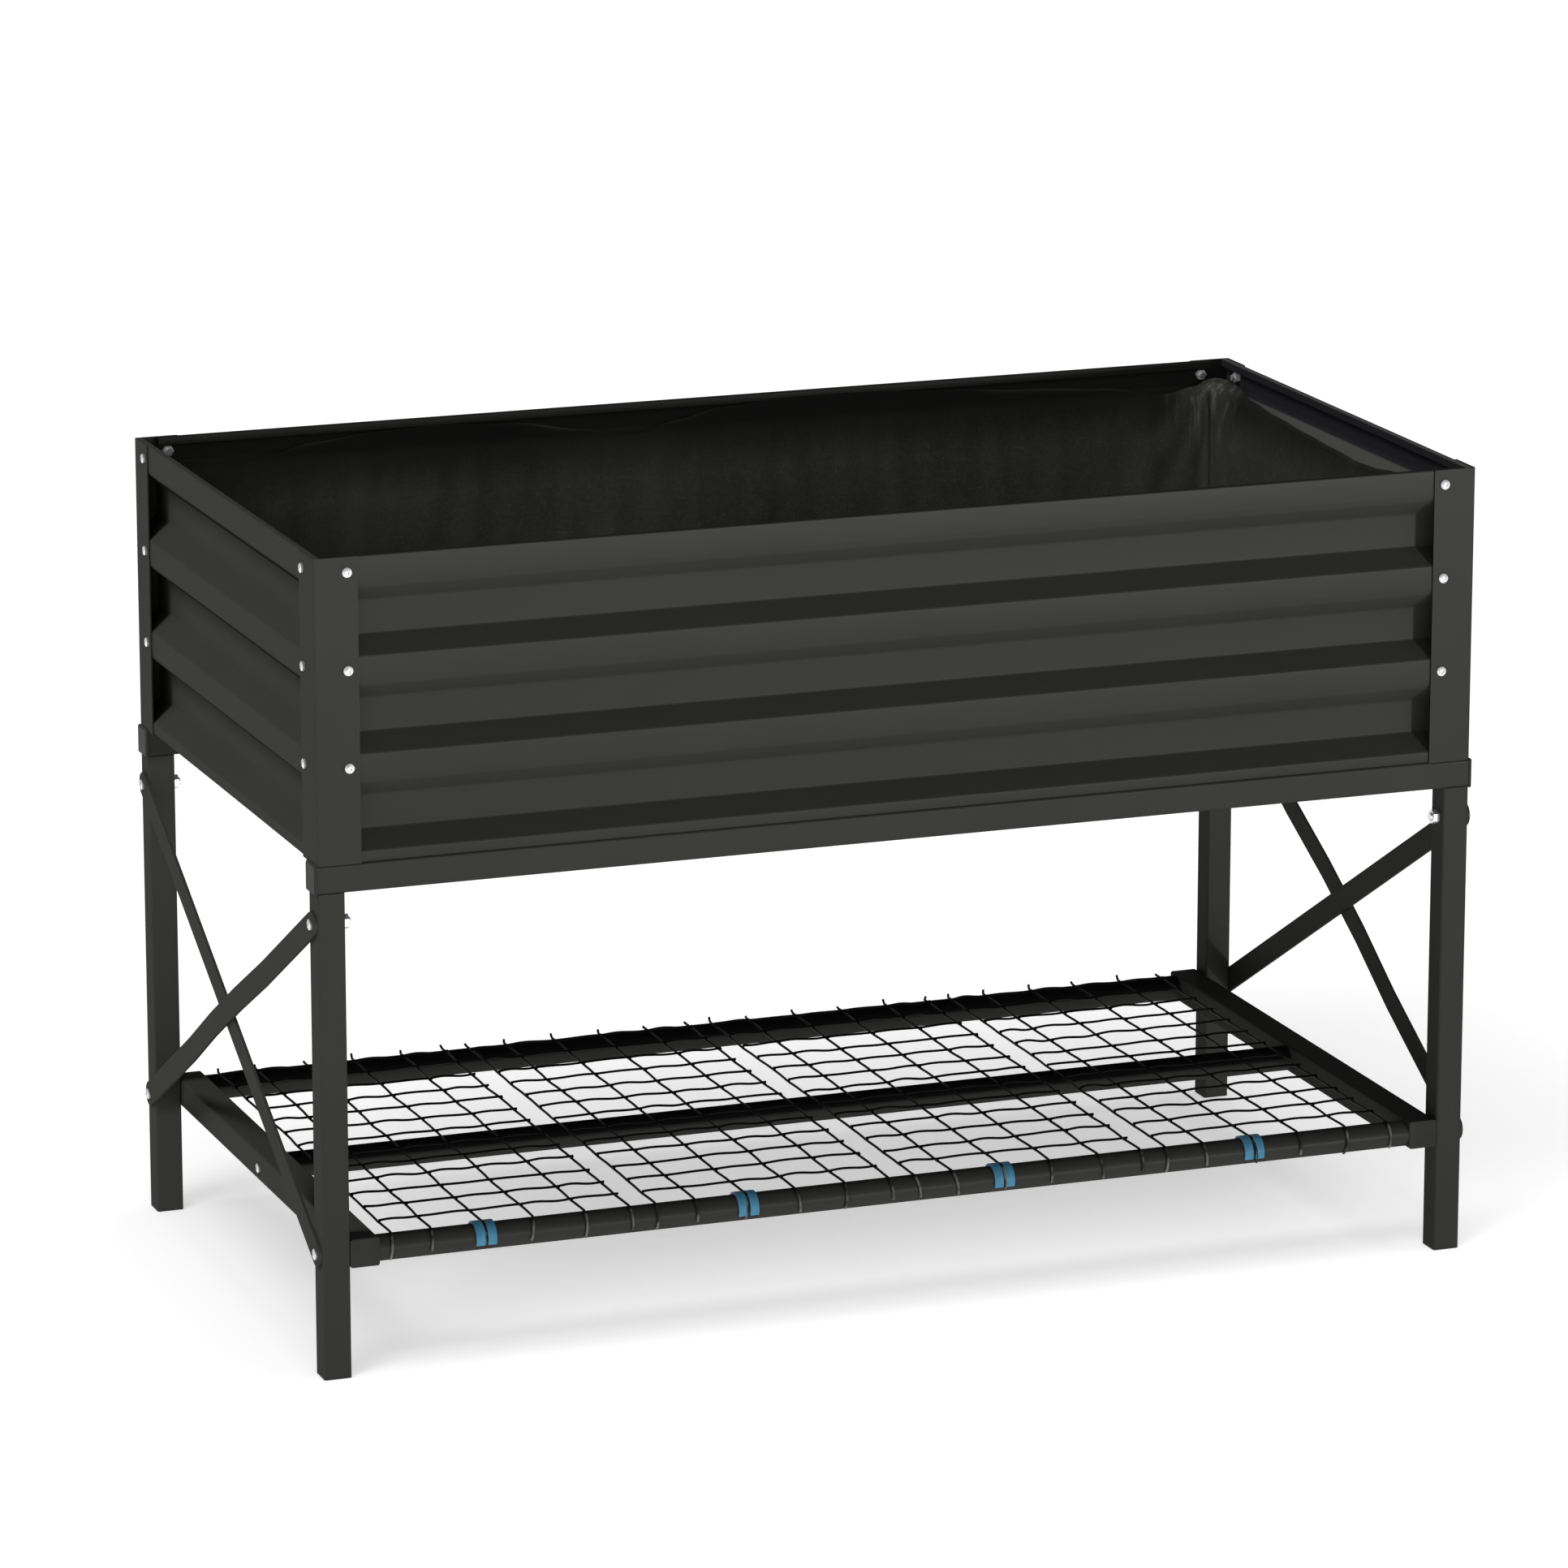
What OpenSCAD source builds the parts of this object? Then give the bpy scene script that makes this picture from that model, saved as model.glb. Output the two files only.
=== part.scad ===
// Raised planter on legs: a corrugated sheet-metal box on two base rails,
// four square tube legs with crossed braces at each end, and a wire-mesh
// storage shelf near the floor. Millimetres, +Z up. The origin is on the
// floor, under the centre of the planter. +X is the long way, +Y the back.

/* [Overall size] */
// Length over the legs
length = 1220; // [1190:5:1300]
// Depth over the legs
depth = 616; // [600:2:680]
// Height from the floor to the rim
height = 820; // [800:5:900]

/* [Frame] */
// Width of the square tube of the legs and base rails
tube = 28; // [26:0.5:32]
// Wall of the frame tubes
tube_wall = 1.5; // [1:0.1:2]
// Corner radius of the frame tubes
tube_r = 2.4; // [1:0.1:3]
// Height of the upper brace bolts
brace_top_z = 458; // [440:1:466]
// Width of the flat brace bars
brace_w = 25; // [20:1:28]
// Thickness of the flat brace bars
brace_t = 3; // [2:0.5:4]

/* [Planter box] */
// Height of the corrugated box
box_h = 302; // [301:0.5:308]
// Pitch of the corrugations and of the box bolts
pitch = 96.1; // [94.1:0.2:96.3]
// Depth of each corrugation
corr_d = 20; // [10:1:22]
// Thickness of the panel sheet
sheet = 1.2; // [0.8:0.1:1.5]
// Width of each flange of the corner angles
flange = 45; // [40:1:48]
// Thickness of the corner angles
angle_t = 1.5; // [1:0.1:2]
// Distance of the box bolts from the corner
bolt_in = 34; // [30:1:36]

/* [Shelf] */
// Height of the axis of the shelf tubes
shelf_z = 125.5; // [110:0.5:140]
// Diameter of the shelf tubes
shelf_d = 26.5; // [22:0.5:28]
// Width of the shelf end rails
end_w = 30; // [28:1:36]
// Height of the shelf end rails
end_h = 28.5; // [28:0.5:34]
// Wire diameter of the mesh panels
wire = 2.2; // [2:0.1:3.5]

/* [Fasteners] */
// Diameter of the box bolt heads
head_d = 9.6; // [8:0.1:13]
// Height of the bolt heads
head_h = 3.4; // [2.5:0.1:4]

/* [Hidden] */

$fn = 48;
hx = length / 2;
hy = depth / 2;
lx = hx - tube / 2;          // leg centres
ly = hy - tube / 2;
box_z = height - box_h;      // underside of the box, top of the base rails
rail_z = box_z - tube;       // underside of the base rails, top of the legs
foot_t = 2;                  // flange of the foot plugs
eps = 0.3;                   // general fit clearance

col_coat = "#3c3c3b";
col_dark = "#2a2a29";
col_cap = "#232323";
col_zinc = "#e4e6e8";
col_liner = "#1d1d1d";
col_wire = "#161616";
col_blue = "#4f95bd";

// ---- general shapes -----------------------------------------------------

module rrect(w, h, r) {
    square([w - 2 * r, h], center = true);
    square([w, h - 2 * r], center = true);
    for (sx = [-1, 1], sy = [-1, 1])
        translate([sx * (w / 2 - r), sy * (h / 2 - r)]) circle(r = r);
}

// Hollow tube section, centred
module tube_section(w, h, t, r) {
    difference() {
        rrect(w, h, r);
        rrect(w - 2 * t, h - 2 * t, max(0.4, r - t));
    }
}

module along_x(len) { rotate([90, 0, 90]) linear_extrude(height = len, center = true) children(); }
module along_y(len) { rotate([90, 0, 0]) linear_extrude(height = len, center = true) children(); }

// A bolt on +Z: seat at z = 0, domed head above, shank below, hex recess
module bolt(d, len, hd, hh) {
    r_dome = hd * 0.9;
    difference() {
        intersection() {
            cylinder(d = hd, h = hh);
            translate([0, 0, hh - r_dome]) sphere(r = r_dome, $fn = 64);
        }
        translate([0, 0, hh - 1.4]) cylinder(d = 4, h = 3, $fn = 6);
    }
    translate([0, 0, -len]) cylinder(d = d, h = len + 0.5);
}

// A hex nut on +Z with its seat at z = 0
module nut(d, af, h) {
    difference() {
        cylinder(d = af / cos(30), h = h, $fn = 6);
        translate([0, 0, -1]) cylinder(d = d + 0.1, h = h + 2);
    }
}

module hole(d, len) { cylinder(d = d, h = len, center = true); }

// ---- legs ---------------------------------------------------------------

module leg(sx, sy) {
    color(col_coat)
    translate([sx * lx, sy * ly, 0])
    difference() {
        translate([0, 0, foot_t])
            linear_extrude(height = rail_z - foot_t)
                tube_section(tube, tube, tube_wall, tube_r);
        for (z = [brace_top_z, shelf_z])
            translate([0, 0, z]) rotate([0, 90, 0]) hole(8.4, tube + 4);
    }
}

module leg_front_left() { leg(-1, -1); }
module leg_front_right() { leg(1, -1); }
module leg_back_left() { leg(-1, 1); }
module leg_back_right() { leg(1, 1); }

// Plastic plugs that close the feet, with a thin flange under the tube
module foot_plugs() {
    inner = tube - 2 * tube_wall - 2 * 0.2;
    color(col_cap)
    for (sx = [-1, 1], sy = [-1, 1])
        translate([sx * lx, sy * ly, 0]) {
            linear_extrude(height = foot_t) rrect(tube, tube, tube_r);
            translate([0, 0, foot_t])
                linear_extrude(height = 16) tube_section(inner, inner, 2, 1);
        }
}

// Sleeves under the base rails that slide into the leg tops
module leg_stub(sx, sy) {
    inner = tube - 2 * tube_wall - 2 * 0.2;
    color(col_dark)
    translate([sx * lx, sy * ly, 0])
    difference() {
        translate([0, 0, rail_z - 60])
            linear_extrude(height = 60) tube_section(inner, inner, 2, 1);
        translate([0, 0, brace_top_z]) rotate([0, 90, 0]) hole(8.4, tube + 4);
    }
}

module leg_stub_front_left() { leg_stub(-1, -1); }
module leg_stub_front_right() { leg_stub(1, -1); }
module leg_stub_back_left() { leg_stub(-1, 1); }
module leg_stub_back_right() { leg_stub(1, 1); }

// ---- base rails, cross bars and floor ------------------------------------

module base_rail(sy) {
    color(col_coat)
    translate([0, sy * ly, rail_z + tube / 2])
        along_x(length) tube_section(tube, tube, tube_wall, tube_r);
}

module base_rail_front() { base_rail(-1); }
module base_rail_back() { base_rail(1); }

// One end cap on +X: chamfered flange against the tube end, plug inside it
module rail_end_cap() {
    w = tube + 2;
    t = 3;
    c = 1.6;
    inner = tube - 2 * tube_wall - 2 * 0.2;
    intersection() {
        rotate([90, 0, 0]) linear_extrude(height = w, center = true)
            polygon([[0, -w / 2], [t - c, -w / 2], [t, -w / 2 + c], [t, w / 2 - c], [t - c, w / 2], [0, w / 2]]);
        linear_extrude(height = w, center = true)
            polygon([[0, -w / 2], [t - c, -w / 2], [t, -w / 2 + c], [t, w / 2 - c], [t - c, w / 2], [0, w / 2]]);
    }
    translate([-7.4, 0, 0]) along_x(15) tube_section(inner, inner, 2, 1);
}

module rail_end_caps() {
    color(col_coat)
    for (sx = [0, 1], sy = [-1, 1])
        mirror([sx, 0, 0])
            translate([hx, sy * ly, rail_z + tube / 2]) rail_end_cap();
}

module cross_bar(x) {
    color(col_dark)
    translate([x, 0, rail_z + tube / 2])
        along_y(depth - 2 * tube) tube_section(tube, tube, tube_wall, tube_r);
}

bar_x = hx * 0.62;
module cross_bar_left() { cross_bar(-bar_x); }
module cross_bar_centre() { cross_bar(0); }
module cross_bar_right() { cross_bar(bar_x); }

// The panels' inner face lies this far inside the outer face of the legs
inner_in = angle_t + corr_d + sheet;

// Floor sheet with drain holes, on the bottom flanges of the panels
module floor_sheet(sx) {
    w = hx - inner_in - 1.2;
    d = depth - 2 * inner_in - 2;
    color(col_dark)
    translate([sx * (w / 2 + 0.4), 0, box_z + sheet])
    difference() {
        linear_extrude(height = sheet) square([w - 0.8, d], center = true);
        for (i = [-2 : 2], j = [-1 : 1])
            translate([i * w / 5.6, j * d / 3.4, 0]) hole(9, 6);
    }
}

module floor_sheet_left() { floor_sheet(-1); }
module floor_sheet_right() { floor_sheet(1); }

// ---- corrugated panels -----------------------------------------------------

half_flat = 16.9;            // half height of a recess floor
half_open = 34.2;            // half height of a recess at the outer face
first_c = 64.1;              // rim to the middle of the first recess
lip = 14;                    // bottom flange
hem = 7;                     // width of the folded hem at the rim

// Outer face of the sheet as [depth inwards, height], from the bottom up
function recess(i) = let (c = height - first_c - i * pitch) [
    [0, c - half_open], [corr_d, c - half_flat], [corr_d, c + half_flat], [0, c + half_open]
];
face = concat(
    [[lip, box_z], [0, box_z]],
    recess(2), recess(1), recess(0),
    [[0, height], [hem, height], [hem, height - 8]]
);

// Unit normal of segment i, pointing into the sheet
function nrm(p, i) = let (d = p[i + 1] - p[i]) [d[1], -d[0]] / norm(d);
function inset(p, t) = [
    for (i = [0 : len(p) - 1])
        let (a = nrm(p, max(0, i - 1)), b = nrm(p, min(len(p) - 2, i)))
        p[i] + t * (a + b) / (1 + a * b)
];
function sheet_outline(p, t) = let (q = inset(p, t))
    concat(p, [for (i = [len(q) - 1 : -1 : 0]) q[i]]);

bolt_zs = [for (i = [0 : 2]) height - 14.9 - i * pitch];

// A panel whose outer face is the plane y = 0, with its bolt holes at +-bx
module corrugated(len, bx) {
    difference() {
        along_x(len) polygon(sheet_outline(face, sheet));
        for (s = [-1, 1], z = bolt_zs)
            translate([s * bx, 0, z]) rotate([90, 0, 0]) hole(6.6, 5);
    }
}

module panel_front() {
    color(col_coat) translate([0, -hy + angle_t, 0])
        corrugated(length - 2 * inner_in - 0.8, hx - bolt_in);
}
module panel_back() {
    color(col_coat) mirror([0, 1, 0]) translate([0, -hy + angle_t, 0])
        corrugated(length - 2 * inner_in - 0.8, hx - bolt_in);
}
module panel_left() {
    color(col_coat) translate([-hx + angle_t, 0, 0]) rotate([0, 0, -90])
        corrugated(depth - 2 * angle_t - 0.6, hy - bolt_in);
}
module panel_right() {
    color(col_coat) mirror([1, 0, 0]) translate([-hx + angle_t, 0, 0]) rotate([0, 0, -90])
        corrugated(depth - 2 * angle_t - 0.6, hy - bolt_in);
}

// Corner angle over the panel ends
module corner(sx, sy) {
    r = 2.2;
    color(col_coat)
    mirror([sx > 0 ? 1 : 0, 0, 0]) mirror([0, sy > 0 ? 1 : 0, 0])
    translate([-hx, -hy, 0])
    difference() {
        translate([0, 0, box_z]) linear_extrude(height = box_h)
            union() {
                translate([r, 0]) square([flange - r, angle_t]);
                translate([0, r]) square([angle_t, flange - r]);
                difference() {
                    intersection() {
                        translate([r, r]) circle(r = r);
                        square([r, r]);
                    }
                    translate([r, r]) circle(r = r - angle_t);
                }
            }
        for (z = bolt_zs) {
            translate([bolt_in, 0, z]) rotate([90, 0, 0]) hole(6.6, 8);
            translate([0, bolt_in, z]) rotate([0, 90, 0]) hole(6.6, 8);
        }
    }
}

module corner_front_left() { corner(-1, -1); }
module corner_front_right() { corner(1, -1); }
module corner_back_left() { corner(-1, 1); }
module corner_back_right() { corner(1, 1); }

// Places its child on every box bolt hole, +Z pointing out of the box
module at_box_bolts() {
    for (z = bolt_zs, sx = [-1, 1], sy = [-1, 1]) {
        translate([sx * (hx - bolt_in), sy * hy, z]) rotate([-sy * 90, 0, 0]) children();
        translate([sx * hx, sy * (hy - bolt_in), z]) rotate([0, sx * 90, 0]) children();
    }
}

module box_bolts() {
    color(col_zinc) at_box_bolts() bolt(6, 11, head_d, head_h);
}

module box_nuts() {
    color(col_zinc) at_box_bolts()
        translate([0, 0, -angle_t - sheet]) mirror([0, 0, 1]) nut(6, 10, 5);
}

// Open-topped liner bag that holds the soil
liner_x = hx - inner_in - 1.2;
liner_y = hy - inner_in - 1.2;
liner_bottom = box_z + 2 * sheet + 0.2;
liner_top = height - 17.5;
module liner() {
    t = 2;
    color(col_liner)
    difference() {
        translate([0, 0, liner_bottom]) linear_extrude(height = liner_top - liner_bottom)
            square([2 * liner_x, 2 * liner_y], center = true);
        translate([0, 0, liner_bottom + t]) linear_extrude(height = box_h)
            square([2 * liner_x - 2 * t, 2 * liner_y - 2 * t], center = true);
    }
}

// ---- braces ---------------------------------------------------------------

run_y = 2 * ly;
run_z = brace_top_z - shelf_z;
brace_len = sqrt(run_y * run_y + run_z * run_z);
brace_a = atan2(run_z, run_y);

// A flat bar along X with its holes at +-brace_len/2; it lies on the plane
// z = 0 and its middle is set out by 'bow' so that it passes over its pair
module flat_brace(bow) {
    e = brace_len / 2 + brace_w / 2;
    a = 50;
    b = 150;
    top = [[-e, 0], [-b, 0], [-a, bow], [a, bow], [b, 0], [e, 0]];
    difference() {
        intersection() {
            rotate([90, 0, 0]) linear_extrude(height = brace_w + 2, center = true)
                polygon(concat(top, [for (i = [5 : -1 : 0]) top[i] + [0, brace_t]]));
            translate([0, 0, -1]) linear_extrude(height = brace_t + bow + 2) {
                square([brace_len, brace_w], center = true);
                for (s = [-1, 1]) translate([s * brace_len / 2, 0]) circle(d = brace_w);
            }
        }
        for (s = [-1, 1]) translate([s * brace_len / 2, 0, 0]) hole(8.4, 20);
    }
}

// dir = 1: high at the back; dir = -1: high at the front
module end_brace(sx, dir, bow) {
    color(col_coat)
    translate([sx * hx, 0, (brace_top_z + shelf_z) / 2])
        rotate([dir * brace_a, 0, 0])
            rotate([0, 0, 90]) rotate([sx > 0 ? 90 : -90, 0, 0]) flat_brace(bow);
}

module brace_left_inner() { end_brace(-1, 1, 0); }
module brace_left_outer() { end_brace(-1, -1, brace_t + 0.2); }
module brace_right_inner() { end_brace(1, -1, 0); }
module brace_right_outer() { end_brace(1, 1, brace_t + 0.2); }

// Upper brace bolts: through the brace, the leg and the stub inside it
module brace_bolts() {
    color(col_zinc)
    for (sx = [-1, 1], sy = [-1, 1])
        translate([sx * (hx + brace_t), sy * ly, brace_top_z]) rotate([0, sx * 90, 0])
            bolt(8, brace_t + tube + 8.5, 11, head_h);
}

module brace_nuts() {
    color(col_zinc)
    for (sx = [-1, 1], sy = [-1, 1])
        translate([sx * (hx - tube), sy * ly, brace_top_z]) rotate([0, -sx * 90, 0])
            nut(8, 13, 6.5);
}

// ---- shelf ------------------------------------------------------------------

end_x = hx - tube - end_w / 2;       // centre of an end rail
end_in = hx - tube - end_w;          // its inner face
end_cz = shelf_z + 0.5;
plug_t = 2;

module shelf_end_rail(sx) {
    color(col_coat)
    difference() {
        translate([sx * end_x, 0, end_cz])
            along_y(depth - 2 * plug_t) tube_section(end_w, end_h, tube_wall, tube_r);
        for (y = [-ly, 0, ly])
            translate([sx * end_x, y, shelf_z]) rotate([0, 90, 0]) hole(8.4, end_w + 4);
    }
}

module shelf_end_rail_left() { shelf_end_rail(-1); }
module shelf_end_rail_right() { shelf_end_rail(1); }

module shelf_end_plugs() {
    color(col_cap)
    for (sx = [-1, 1], sy = [0, 1])
        mirror([0, sy, 0]) translate([sx * end_x, -hy, end_cz]) {
            translate([0, plug_t / 2, 0]) along_y(plug_t) rrect(end_w, end_h, tube_r);
            translate([0, plug_t + 3.5, 0]) along_y(7)
                tube_section(end_w - 2 * tube_wall - 0.4, end_h - 2 * tube_wall - 0.4, 2, 1);
        }
}

module shelf_tube(y) {
    color(col_coat)
    translate([0, y, shelf_z]) rotate([0, 90, 0])
    difference() {
        cylinder(d = shelf_d, h = 2 * end_in - 0.4, center = true, $fn = 64);
        cylinder(d = shelf_d - 3, h = 2 * end_in + 2, center = true, $fn = 64);
    }
}

module shelf_tube_front() { shelf_tube(-ly); }
module shelf_tube_middle() { shelf_tube(0); }
module shelf_tube_back() { shelf_tube(ly); }

// Threaded inserts in the ends of the shelf tubes
module shelf_tube_inserts() {
    color(col_zinc)
    for (sx = [-1, 1], y = [-ly, 0, ly])
        translate([sx * (end_in - 0.4), y, shelf_z]) rotate([0, -sx * 90, 0])
            difference() {
                cylinder(d = shelf_d - 3.4, h = 20);
                translate([0, 0, -1]) cylinder(d = 8.3, h = 30);
            }
}

// Long bolts: brace, leg and end rail into the front and back tubes
module shelf_bolts_long() {
    color(col_zinc)
    for (sx = [-1, 1], sy = [-1, 1])
        translate([sx * (hx + brace_t), sy * ly, shelf_z]) rotate([0, sx * 90, 0])
            bolt(8, brace_t + tube + end_w + 15, 11, head_h);
}

// Short bolts: end rail into the middle tube
module shelf_bolts_short() {
    color(col_zinc)
    for (sx = [-1, 1])
        translate([sx * (hx - tube), 0, shelf_z]) rotate([0, sx * 90, 0])
            bolt(8, end_w + 15, head_d, head_h);
}

// Mesh panel: six long wires across the tubes, hooked over the front tube,
// and thirteen cross wires on top of them
mesh_w = 246.5;
mesh_pitch = 273.7;
mesh_first = -537;
long_x = [0, 41, 94.5, 146.5, 200, 246.5];
hook_r = shelf_d / 2 + wire / 2 + 0.2;
long_z = shelf_z + hook_r;
cross_z = long_z + wire - 0.5;
back_y = ly + 15;
module mesh_panel(i) {
    color(col_wire)
    translate([mesh_first + i * mesh_pitch, 0, 0]) {
        for (x = long_x) {
            translate([x, -ly, long_z]) rotate([-90, 0, 0])
                cylinder(d = wire, h = back_y + ly, $fn = 24);
            translate([x, -ly, shelf_z]) rotate([90, 0, 0]) rotate([0, 90, 0])
                rotate([0, 0, 90]) rotate_extrude(angle = 90, $fn = 96)
                    translate([hook_r, 0]) circle(d = wire, $fn = 24);
        }
        for (k = [-6 : 6])
            translate([-3, 9.5 + k * 45.15, cross_z]) rotate([0, 90, 0]) rotate([0, 0, 180])
                cylinder(d = wire, h = mesh_w + 6, $fn = 24);
    }
}

module mesh_panel_1() { mesh_panel(0); }
module mesh_panel_2() { mesh_panel(1); }
module mesh_panel_3() { mesh_panel(2); }
module mesh_panel_4() { mesh_panel(3); }

// Plastic clip that snaps round the front tube, slotted for one long wire
clip_w = 21;
clip_r = shelf_d / 2 + 0.2;
clip_t = 2.3;
module mesh_clip() {
    difference() {
        rotate([0, 90, 0]) rotate([0, 0, 78])
            rotate_extrude(angle = 212, $fn = 96)
                translate([clip_r, -clip_w / 2]) square([clip_t, clip_w]);
        translate([-(wire + 0.8) / 2, -shelf_d, -shelf_d * 0.4])
            cube([wire + 0.8, shelf_d + 9.5, shelf_d * 1.4]);
    }
}

module mesh_clips() {
    color(col_blue)
    for (i = [0 : 3])
        translate([mesh_first + i * mesh_pitch + long_x[2], -ly, shelf_z]) mesh_clip();
}

// ---- assembly ------------------------------------------------------------------

leg_front_left();
leg_front_right();
leg_back_left();
leg_back_right();
foot_plugs();
leg_stub_front_left();
leg_stub_front_right();
leg_stub_back_left();
leg_stub_back_right();
base_rail_front();
base_rail_back();
rail_end_caps();
cross_bar_left();
cross_bar_centre();
cross_bar_right();
floor_sheet_left();
floor_sheet_right();
panel_front();
panel_back();
panel_left();
panel_right();
corner_front_left();
corner_front_right();
corner_back_left();
corner_back_right();
box_bolts();
box_nuts();
liner();
brace_left_inner();
brace_left_outer();
brace_right_inner();
brace_right_outer();
brace_bolts();
brace_nuts();
shelf_end_rail_left();
shelf_end_rail_right();
shelf_end_plugs();
shelf_tube_front();
shelf_tube_middle();
shelf_tube_back();
shelf_tube_inserts();
shelf_bolts_long();
shelf_bolts_short();
mesh_panel_1();
mesh_panel_2();
mesh_panel_3();
mesh_panel_4();
mesh_clips();
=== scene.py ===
import math

import bmesh
import bpy
import numpy as np
from mathutils import Matrix, Vector


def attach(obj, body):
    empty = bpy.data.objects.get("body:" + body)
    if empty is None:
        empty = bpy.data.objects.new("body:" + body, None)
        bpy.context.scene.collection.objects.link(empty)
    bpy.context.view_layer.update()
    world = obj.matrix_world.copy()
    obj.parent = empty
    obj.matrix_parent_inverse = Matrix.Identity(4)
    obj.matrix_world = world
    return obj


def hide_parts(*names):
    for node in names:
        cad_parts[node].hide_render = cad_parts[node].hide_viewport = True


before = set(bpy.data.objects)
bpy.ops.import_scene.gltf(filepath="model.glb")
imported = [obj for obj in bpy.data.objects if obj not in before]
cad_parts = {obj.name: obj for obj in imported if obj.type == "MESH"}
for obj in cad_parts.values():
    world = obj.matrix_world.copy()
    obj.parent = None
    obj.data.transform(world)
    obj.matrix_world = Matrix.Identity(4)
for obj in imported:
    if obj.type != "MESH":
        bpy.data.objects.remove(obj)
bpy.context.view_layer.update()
scene = bpy.context.scene

# ---- sizes, in metres, as the frame has them -------------------------------
HX, HY, H = 0.610, 0.308, 0.820
LX, LY = 0.596, 0.294
BOX_Z = 0.518
PITCH = 0.0961
FIRST_C = 0.0641
SHELF_Z, SHELF_R = 0.1255, 0.01325
WIRE = 0.0013
ANGLE_T, SHEET = 0.0015, 0.0012

# ---- camera ------------------------------------------------------------------
yaw, pitch = math.radians(20.549261), math.radians(14.176186)
cam_data = bpy.data.cameras.new("camera")
cam = bpy.data.objects.new("camera", cam_data)
scene.collection.objects.link(cam)
cam_data.sensor_fit = "HORIZONTAL"
cam_data.sensor_width = 36.0
cam_data.lens = 175.475421
cam_data.clip_end = 200
fwd = Vector((math.sin(yaw) * math.cos(pitch), math.cos(yaw) * math.cos(pitch), -math.sin(pitch)))
right = Vector((math.cos(yaw), -math.sin(yaw), 0))
up = right.cross(fwd)
rot = Matrix((right, up, -fwd)).transposed()
cam.matrix_world = Matrix.Translation((-2.678014, -7.100963, 2.390614)) @ rot.to_4x4()
scene.camera = cam
scene.view_settings.view_transform = "Standard"
scene.view_settings.look = "None"
scene.view_settings.exposure = 0.0
scene.view_settings.gamma = 1.0


# ---- material helpers ----------------------------------------------------------
def lin(hexa):
    out = []
    for i in (1, 3, 5):
        c = int(hexa[i:i + 2], 16) / 255
        out.append(c / 12.92 if c <= 0.04045 else ((c + 0.055) / 1.055) ** 2.4)
    return (*out, 1.0)


class Mat:
    """A Principled material and short ways to wire nodes into it."""

    def __init__(self, name):
        self.m = bpy.data.materials.new(name)
        self.m.use_nodes = True
        self.t = self.m.node_tree
        self.b = self.t.nodes["Principled BSDF"]
        self.coord = self.t.nodes.new("ShaderNodeTexCoord").outputs["Object"]

    def node(self, kind, **k):
        n = self.t.nodes.new(kind)
        for a, v in k.items():
            setattr(n, a, v)
        return n

    def set(self, **k):
        for a, v in k.items():
            self.b.inputs[a.replace("_", " ")].default_value = v
        return self

    def link(self, a, b):
        self.t.links.new(a, b)

    def scaled(self, x, y, z, source=None):
        n = self.node("ShaderNodeMapping")
        n.inputs["Scale"].default_value = (x, y, z)
        self.link(source or self.coord, n.inputs["Vector"])
        return n.outputs["Vector"]

    def noise(self, scale, detail=3.0, rough=0.5, vec=None, distortion=0.0):
        n = self.node("ShaderNodeTexNoise")
        n.inputs["Scale"].default_value = scale
        n.inputs["Detail"].default_value = detail
        n.inputs["Roughness"].default_value = rough
        n.inputs["Distortion"].default_value = distortion
        self.link(vec or self.coord, n.inputs["Vector"])
        return n.outputs["Fac"]

    def voronoi(self, scale, vec=None, feature="F1", out="Distance"):
        n = self.node("ShaderNodeTexVoronoi", feature=feature)
        n.inputs["Scale"].default_value = scale
        self.link(vec or self.coord, n.inputs["Vector"])
        return n.outputs[out]

    def ramp(self, fac, stops):
        n = self.node("ShaderNodeValToRGB")
        e = n.color_ramp.elements
        while len(e) < len(stops):
            e.new(0.5)
        for i, (p, c) in enumerate(stops):
            e[i].position = p
            e[i].color = c
        self.link(fac, n.inputs["Fac"])
        return n.outputs["Color"]

    def span(self, fac, a, b, c, d):
        n = self.node("ShaderNodeMapRange")
        for key, v in zip(("From Min", "From Max", "To Min", "To Max"), (a, b, c, d)):
            n.inputs[key].default_value = v
        self.link(fac, n.inputs["Value"])
        return n.outputs["Result"]

    def math(self, op, a, b):
        n = self.node("ShaderNodeMath", operation=op)
        for i, v in enumerate((a, b)):
            if isinstance(v, (int, float)):
                n.inputs[i].default_value = v
            else:
                self.link(v, n.inputs[i])
        return n.outputs[0]

    def mix(self, fac, a, b):
        n = self.node("ShaderNodeMix", data_type="RGBA")
        for key, v in ((0, fac), (6, a), (7, b)):
            if isinstance(v, (int, float, tuple)):
                n.inputs[key].default_value = v
            else:
                self.link(v, n.inputs[key])
        return n.outputs[2]

    def color(self, socket):
        self.link(socket, self.b.inputs["Base Color"])
        return self

    def rough(self, socket):
        self.link(socket, self.b.inputs["Roughness"])
        return self

    def bump(self, *layers):
        last = None
        for height, strength, dist in layers:
            n = self.node("ShaderNodeBump")
            n.inputs["Strength"].default_value = strength
            n.inputs["Distance"].default_value = dist
            self.link(height, n.inputs["Height"])
            if last is not None:
                self.link(last, n.inputs["Normal"])
            last = n.outputs["Normal"]
        self.link(last, self.b.inputs["Normal"])
        return self


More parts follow.
